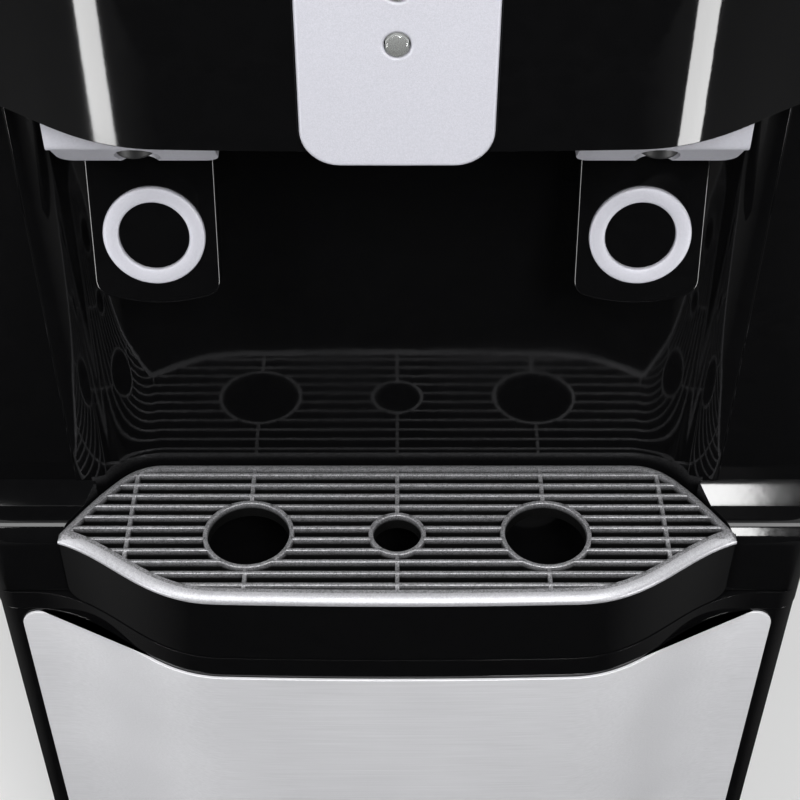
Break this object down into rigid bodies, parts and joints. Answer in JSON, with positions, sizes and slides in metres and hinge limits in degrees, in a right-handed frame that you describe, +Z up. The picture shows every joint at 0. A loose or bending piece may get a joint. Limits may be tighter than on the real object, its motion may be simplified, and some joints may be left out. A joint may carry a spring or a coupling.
{
  "type": "bottle water dispenser",
  "caption": "Floor-standing bottle-fed hot and cold water dispenser with bow front, slotted drip tray, push levers and a storage door.",
  "frame": {"origin": "on the floor, under the centre of the machine's bounding box", "axes": "+Z up, -Y out of the front with the taps, +X to the right seen from the front"},
  "size_m": [0.32, 0.313, 0.975],
  "materials": {
    "gloss_black": "polished black moulding",
    "satin_black": "satin black moulding",
    "silver_paint": "satin silver paint on plastic",
    "grey_sparkle": "metallic grey with fine sparkle, lighter on the rim",
    "brushed_steel": "fine brushed lines with a bright bevelled edge",
    "black_sheet": "black powder coat",
    "zinc_sheet": "galvanised sheet",
    "tank_steel": "dull stainless",
    "pin_steel": "bright steel",
    "black_enamel": "black enamel",
    "white_plastic": "plain white moulding",
    "silicone": "translucent white silicone",
    "rubber": "grey black rubber",
    "foam": "cream expanded foam",
    "copper": "drawn copper",
    "board": "green circuit board",
    "lens": "clear moulded lens"
  },
  "bodies": {
    "cabinet": {"front_frame": "gloss_black", "niche_liner": "gloss_black", "niche_ceiling": "satin_black", "hood": "gloss_black", "control_bezel": "silver_paint", "top_cover": "gloss_black", "plinth": "gloss_black", "side_panel_left": "black_sheet", "side_panel_right": "black_sheet", "back_panel": "zinc_sheet", "indicator_lens_power": "lens", "indicator_lens_heating": "lens", "indicator_lens_cooling": "lens", "control_board": "board", "tap_body_left": "silver_paint", "tap_body_right": "silver_paint", "tap_nozzle_left": "satin_black", "tap_nozzle_right": "satin_black", "lever_pin_left": "pin_steel", "lever_pin_right": "pin_steel", "bottle_collar": "satin_black", "bottle_spike": "white_plastic", "cold_tank": "tank_steel", "evaporator_coil": "copper", "tank_insulation": "foam", "tank_shelf": "zinc_sheet", "hot_tank": "tank_steel", "hot_thermostat": "satin_black", "hot_hose": "silicone", "cold_hose": "silicone", "foot_front_left": "rubber", "foot_front_right": "rubber", "foot_rear_left": "rubber", "foot_rear_right": "rubber", "base_pan": "zinc_sheet", "compressor": "black_enamel", "condenser_grid": "black_enamel", "discharge_pipe": "copper", "storage_liner": "white_plastic", "storage_shelf": "white_plastic", "hinge_pin_top": "pin_steel", "hinge_pin_bottom": "pin_steel", "switch_frame": "satin_black", "power_inlet": "satin_black", "drain_cap": "white_plastic"},
    "tray_drawer": {"drip_tray": "gloss_black"},
    "grille": {"drip_grille": "grey_sparkle"},
    "left_lever": {"lever_left": "gloss_black", "lever_ring_left": "silver_paint"},
    "right_lever": {"lever_right": "gloss_black", "lever_ring_right": "silver_paint"},
    "door": {"door_shell": "gloss_black", "door_plate": "brushed_steel", "door_inner": "white_plastic", "door_gasket": "rubber"},
    "heating_key": {"heating_switch": "satin_black"},
    "cooling_key": {"cooling_switch": "satin_black"}
  },
  "joints": [
    {"name": "tray_slide", "type": "slide", "parent": "cabinet", "child": "tray_drawer", "axis": [0, -1, 0], "range_m": [0, 0.06]},
    {"name": "grille_lift", "type": "slide", "parent": "tray_drawer", "child": "grille", "axis": [0, 0, 1], "range_m": [0, 0.03]},
    {"name": "left_lever_swing", "type": "hinge", "parent": "cabinet", "child": "left_lever", "pos_m": [-0.079, -0.09082, 0.834], "axis": [1, 0, 0], "range_deg": [0, 9], "stiffness_Nm_per_rad": 0.4, "springref_deg": -8.59},
    {"name": "right_lever_swing", "type": "hinge", "parent": "cabinet", "child": "right_lever", "pos_m": [0.079, -0.09082, 0.834], "axis": [1, 0, 0], "range_deg": [0, 9], "stiffness_Nm_per_rad": 0.4, "springref_deg": -8.59},
    {"name": "door_swing", "type": "hinge", "parent": "cabinet", "child": "door", "pos_m": [0.151, -0.10482, 0.3], "axis": [0, 0, 1], "range_deg": [0, 110]},
    {"name": "heating_key_rock", "type": "hinge", "parent": "cabinet", "child": "heating_key", "pos_m": [0.096, 0.14018, 0.885], "axis": [1, 0, 0], "range_deg": [0, 20]},
    {"name": "cooling_key_rock", "type": "hinge", "parent": "cabinet", "child": "cooling_key", "pos_m": [0.12, 0.14018, 0.885], "axis": [1, 0, 0], "range_deg": [0, 20]}
  ]
}
